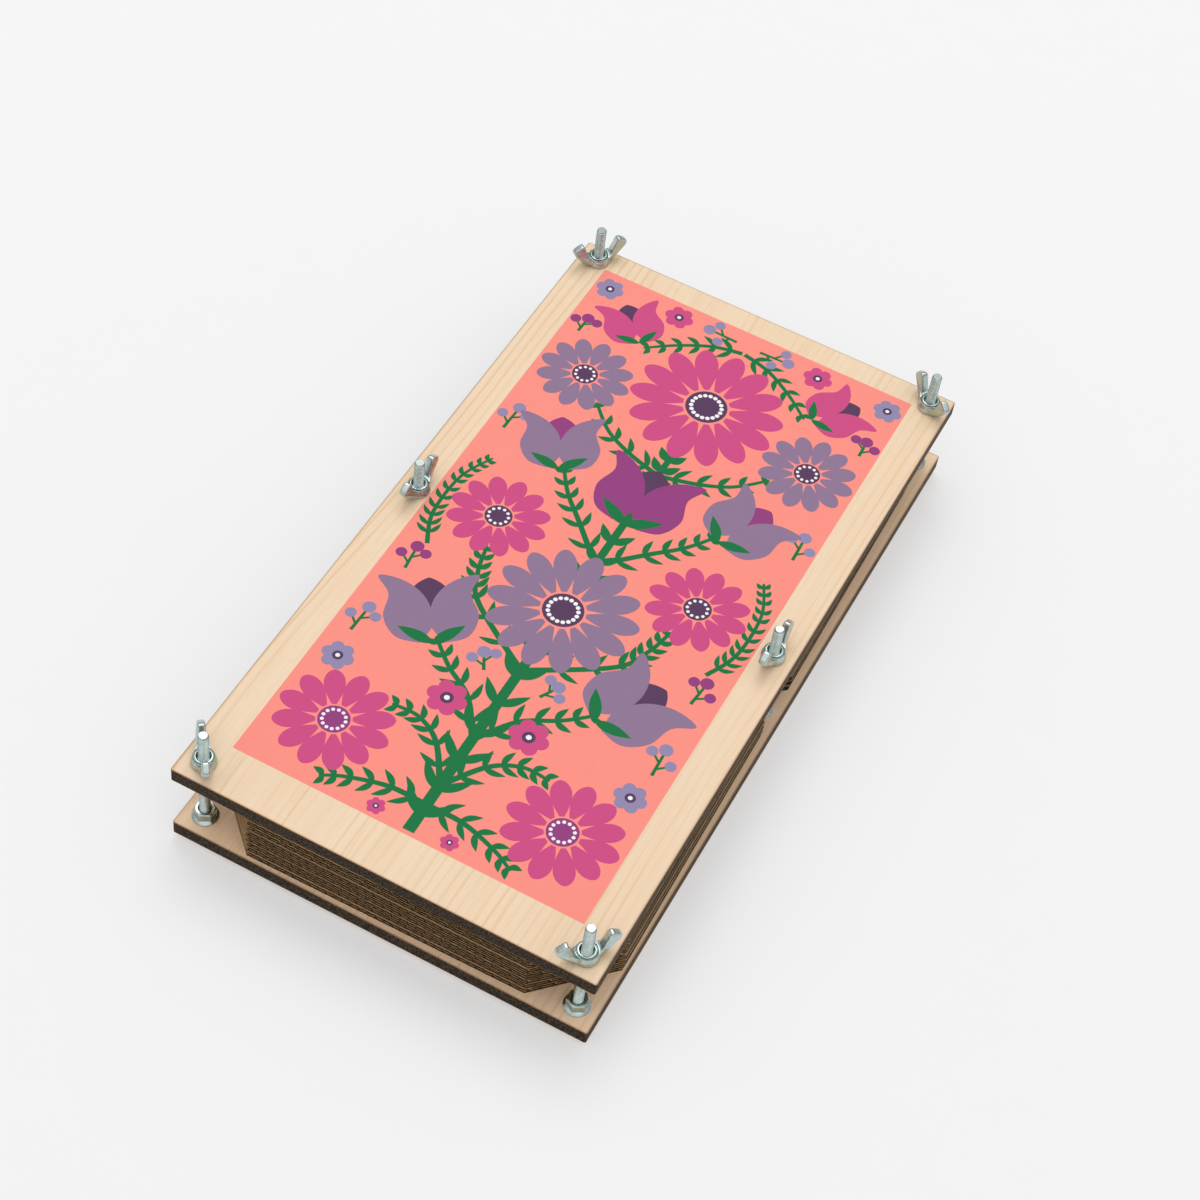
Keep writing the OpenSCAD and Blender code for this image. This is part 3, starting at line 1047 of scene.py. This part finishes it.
def leaf(centre, angle, length, width, bend=0.0):
    """A lance leaf, drawn from its stalk to its tip."""
    upper = []
    lower = []
    for step in range(LEAF_STEPS + 1):
        share = 0.5 - 0.5 * math.cos(math.pi * step / LEAF_STEPS)
        half = width / 2 * math.sin(math.pi * share**0.8) ** 0.9
        lift = bend * math.sin(math.pi * share)
        upper.append((length * share, lift + half))
        lower.append((length * share, lift - half))
    return turned_points(lower + upper[-2:0:-1], centre, angle)


def petal(centre, angle, inner, outer, half_width, blunt=0.55):
    """A spoon-shaped petal that starts and ends at two distances from a centre."""
    upper = []
    lower = []
    for step in range(PETAL_STEPS + 1):
        share = 1 - (1 - step / PETAL_STEPS) ** 1.5
        half = half_width * math.sin(math.pi * (0.10 + 0.90 * share)) ** blunt * (0.30 + 0.70 * share**0.8)
        upper.append((inner + (outer - inner) * share, half))
        lower.append((inner + (outer - inner) * share, -half))
    return turned_points(lower + upper[-2::-1], centre, angle)


def tulip_parts(size):
    """Outlines of a tulip that opens along +X: back petal, two side petals."""
    knots = [Vector(point) * size for point in SIDE_PETAL]
    side = [tuple(point) for point in curve_points(knots, 5)][:-1]
    back = petal((0, 0), 0, 0.42 * size, 1.04 * size, 0.34 * size, 0.8)
    return back, side, [(x, -y) for x, y in reversed(side)]


drawing = Print()
half_film = ((film_high.x - film_low.x) / 2, (film_high.y - film_low.y) / 2)
corners = [(-1, -1), (1, -1), (1, 1), (-1, 1)]
drawing.shape([(side * half_film[0], end * half_film[1]) for side, end in corners], CORAL, 0)


def daisy(centre, radius, petals, ink, eye_ink, mirrored=True, spin=0.0):
    """A round flower of parted petals with a beaded eye; the number of petals is even."""
    put = drawing.both if mirrored else drawing.shape
    spread = math.tan(math.pi / petals) * radius * 0.93
    put(disc(centre, 0.6 * radius), CORAL, 6)
    for index in range(petals):
        put(petal(centre, spin + 360 * index / petals, 0.30 * radius, radius, spread), ink, 7 + index % 2)
    put(disc(centre, 0.27 * radius), eye_ink, 10)
    beads = max(8, round(radius * 0.6))
    for index in range(beads):
        spot = turned_points([(0.195 * radius, 0)], centre, 360 * index / beads)[0]
        put(disc(spot, 0.022 * radius + 0.22, 10), WHITE, 11)


def tulip(centre, angle, size, ink, back_ink, mirrored=True):
    """A tulip in side view on two green sepals."""
    put = drawing.both if mirrored else drawing.shape
    back, left, right = tulip_parts(size)
    put(turned_points(back, centre, angle), back_ink, 7)
    put(turned_points(left, centre, angle), ink, 8)
    put(turned_points(right, centre, angle), ink, 9)
    put(turned_points(leaf((0, 0), 58, 0.50 * size, 0.16 * size), centre, angle), LEAF_GREEN, 10)
    put(turned_points(leaf((0, 0), -58, 0.50 * size, 0.16 * size), centre, angle), LEAF_GREEN, 11)


def berries(root, angle, reach, ink):
    """A twig with a berry at its tip and one on a short stalk to each side."""
    tip = turned_points([(reach, 0)], root, angle)[0]
    drawing.both(ribbon([root, tip], 1.3, 0.9), LEAF_GREEN, 3)
    drawing.both(disc(tip, 2.5), ink, 5.75)
    for index, side in enumerate((-1, 1)):
        foot = turned_points([(reach * (0.25 + 0.25 * index), 0)], root, angle)[0]
        end = turned_points([(5.4, 0)], foot, angle + side * 50)[0]
        drawing.both(ribbon([foot, end], 0.9, 0.8), LEAF_GREEN, 5 - index)
        drawing.both(disc(end, 2.1), ink, 6.75 + 0.1 * index)


def frond(knots, widths, leaves, length, width, layer=2, leaf_layer=4, span=(0.14, 0.94), mirrored=True):
    """A stem with pairs of narrow leaves along it, shorter towards its tip."""
    put = drawing.both if mirrored else drawing.shape
    put(ribbon(knots, *widths), LEAF_GREEN, layer)
    line = curve_points(knots, 40)
    for index in range(leaves):
        share = index / max(1, leaves - 1)
        spot = round((span[0] + (span[1] - span[0]) * share) * (len(line) - 2))
        along = line[spot + 1] - line[spot]
        heading = math.degrees(math.atan2(along.y, along.x))
        size = length * (1 - 0.45 * share)
        for side, level in ((1, leaf_layer), (-1, leaf_layer + 1)):
            angle = heading + side * LEAF_LEAN
            put(leaf(tuple(line[spot]), angle, size, width, side * 0.5), LEAF_GREEN, level)


def rosette(centre, radius, ink):
    """A small flower of six round petals."""
    for index in range(6):
        spot = turned_points([(0.58 * radius, 0)], centre, 60 * index)[0]
        drawing.both(disc(spot, 0.36 * radius, 18), ink, 7 + index % 2)
    drawing.both(disc(centre, 0.30 * radius, 18), PLUM, 10)
    drawing.both(disc(centre, 0.13 * radius, 12), WHITE, 11)


trunk = [(0, -134), (0, -60), (0, 10), (0, 62)]
frond(trunk, (4.4, 2.4), 17, 14, 3.6, layer=1, leaf_layer=1.75, span=(0.05, 0.97), mirrored=False)
daisy((0, 91), 30, 14, MAGENTA, PLUM, mirrored=False, spin=90)
daisy((0, -25), 28, 14, MAUVE, PLUM, mirrored=False, spin=90)
tulip((0, 22), 90, 29, VIOLET, PLUM, mirrored=False)
frond([(0.5, -122), (14, -122), (28, -126), (36, -130)], (2.4, 1.2), 6, 9, 2.4)
frond([(0.5, -112), (10, -98), (20, -92), (30, -92)], (2.4, 1.3), 6, 9, 2.4)
daisy((44, -108), 21, 12, MAGENTA, VIOLET)
frond([(0.5, -90), (10, -76), (22, -68), (31, -60)], (2.4, 1.4), 6, 10, 2.5)
tulip((32, -62), 58, 28, MAUVE, PLUM)
frond([(0.5, -56), (27, -38), (34, -26), (37, -14)], (2.4, 1.4), 8, 9, 2.4)
frond([(56, -24), (61.5, -10), (61.5, 10), (56, 24)], (1.8, 1.0), 11, 6.4, 1.9)
daisy((40.5, 1), 19, 12, MAGENTA, PLUM)
frond([(0.5, 0), (14, 14), (24, 24), (31, 34)], (2.4, 1.4), 6, 9, 2.4)
tulip((33, 33), 66, 25, MAUVE, VIOLET)
frond([(0.5, 50), (14, 54), (26, 60), (36, 70)], (2.2, 1.3), 5, 9, 2.4)
daisy((47, 81), 18.5, 12, MAUVE, PLUM)
frond([(0.5, 124), (12, 121), (24, 114), (34, 106)], (2.0, 1.2), 6, 8, 2.2)
tulip((37, 107), 50, 20, MAGENTA, PLUM)
berries((5, 128.4), 2, 12, LAVENDER)
berries((59, -72), 92, 12, LAVENDER)
berries((57, -38), 84, 11, VIOLET)
berries((60, 40), 92, 12, LAVENDER)
berries((60, 100), 92, 8, VIOLET)
berries((11, -63), 62, 8, LAVENDER)
rosette((16, -80), 8, MAGENTA)
rosette((57, -84), 6.5, LAVENDER)
rosette((30, 128), 6.2, MAGENTA)
rosette((60, 127), 6, LAVENDER)
rosette((14, -131), 3.6, MAGENTA)

stand("coral_print", drawing.shell.mesh("coral_print", INKS), "top_board", ["printed_panel"])

# Studio

FLOOR_EVENNESS = 0.40
FLOOR_REACH = 9.0


def floor_finish():
    """Matt white floor; what the camera and mirrors see of it is partly even, which thins the shadow."""
    floor = Finish("pale_floor", {"Specular IOR Level": 0.1, "Roughness": 0.8})
    grain = floor.noise(floor.stretch(floor.place(), (60, 60, 60)), 2.0)
    floor.paint(Base_Color=floor.blend(grain, (0.905, 0.905, 0.905, 1), (0.893, 0.893, 0.893, 1)))
    even = floor.node("ShaderNodeEmission", None, {"Color": (0.904, 0.904, 0.906, 1), "Strength": 1.0})
    direct, mirrored, passed = [
        floor.node("ShaderNodeLightPath", output=ray)
        for ray in ("Is Camera Ray", "Is Glossy Ray", "Is Transmission Ray")
    ]
    seen = direct.highest(mirrored).highest(passed)
    lit = Value(floor, floor.shader.outputs[0])
    mixed = floor.node("ShaderNodeMixShader", None, {0: seen * FLOOR_EVENNESS, 1: lit, 2: even})
    floor.feed(floor.tree.nodes["Material Output"].inputs["Surface"], mixed)
    return floor.material


ground = bpy.data.meshes.new("studio_floor")
edge = [(side * FLOOR_REACH, end * FLOOR_REACH, 0) for side, end in ((-1, -1), (1, -1), (1, 1), (-1, 1))]
ground.from_pydata(edge, [], [(0, 1, 2, 3)])
ground.materials.append(floor_finish())
linked("studio_floor", ground)

# The room by height, from straight below to straight above; its front is brighter than its back
SKY_STOPS = ((0.0, 0.74), (0.12, 0.64), (0.30, 0.48), (0.50, 0.54), (0.72, 0.92), (0.88, 1.13), (1.0, 1.18))
SKY_BLUENESS = 1.01
SIDE_LEVEL = 0.95
LOWEST_SIDE_LEVEL = 0.35
FRONT_GAIN = 0.22
RIGHT_GAIN = 0.06
world = bpy.data.worlds.new("soft_studio")
bpy.context.scene.world = world
world.use_nodes = True
sky = Nodes(world.node_tree)
across, along, height = sky.split(sky.place("Generated"))
stops = [(place, (level, level, level * SKY_BLUENESS, 1)) for place, level in SKY_STOPS]
height_tone = sky.node("ShaderNodeValToRGB", {"stops": stops}, {0: height})
side_level = (along * -FRONT_GAIN + across * RIGHT_GAIN + SIDE_LEVEL).highest(LOWEST_SIDE_LEVEL)
tone = sky.blend(1.0, height_tone, sky.join(side_level, side_level, side_level), "MULTIPLY")
sky.feed(world.node_tree.nodes["Background"].inputs[0], tone)


def soft_box(name, spot, width, radiance):
    """A square lamp, aimed at the middle of the frame, that gives that radiance over its whole face."""
    lamp = bpy.data.lights.new(name, "AREA")
    lamp.shape = "SQUARE"
    lamp.size = width
    lamp.energy = math.pi * width**2 * radiance
    piece = linked(name, lamp)
    piece.location = spot
    piece.rotation_euler = (-spot).to_track_quat("-Z", "Y").to_euler()


def outward(azimuth, elevation):
    """The direction from the middle of the frame at an azimuth from +Y towards +X, and an elevation."""
    level = math.cos(elevation)
    return Vector((math.sin(azimuth) * level, math.cos(azimuth) * level, math.sin(elevation)))


LAMP_AZIMUTH = math.radians(-25)
LAMP_ELEVATION = math.radians(67)
LAMP_DISTANCE = 3.3
LAMP_WIDTH = 1.8
LAMP_RADIANCE = 2.6
lamp_spot = outward(LAMP_AZIMUTH, LAMP_ELEVATION) * LAMP_DISTANCE
soft_box("overhead_soft_box", lamp_spot, LAMP_WIDTH, LAMP_RADIANCE)

# The camera stands where the photograph was taken from; its azimuth turns from the front to the right
CAMERA_AZIMUTH = math.radians(20.377)
CAMERA_ELEVATION = math.radians(50.846)
CAMERA_ROLL = math.radians(9.193)
CAMERA_DISTANCE = 0.9359
CAMERA_TARGET = Vector((8.24, -9.95, DECK)) * MM
CAMERA_LENS = 79.1
SENSOR_WIDTH = 36.0
back = outward(math.pi - CAMERA_AZIMUTH, CAMERA_ELEVATION)
level_right = Vector((math.cos(CAMERA_AZIMUTH), math.sin(CAMERA_AZIMUTH), 0))
level_up = back.cross(level_right)
right = math.cos(CAMERA_ROLL) * level_right + math.sin(CAMERA_ROLL) * level_up
up = -math.sin(CAMERA_ROLL) * level_right + math.cos(CAMERA_ROLL) * level_up
lens = bpy.data.cameras.new("photo_camera")
lens.sensor_fit = "HORIZONTAL"
lens.sensor_width = SENSOR_WIDTH
lens.lens = CAMERA_LENS
camera = linked("photo_camera", lens)
turn = Matrix((right, up, back)).transposed().to_4x4()
camera.matrix_world = Matrix.Translation(CAMERA_TARGET + back * CAMERA_DISTANCE) @ turn
bpy.context.scene.camera = camera
bpy.context.scene.view_settings.view_transform = "Standard"
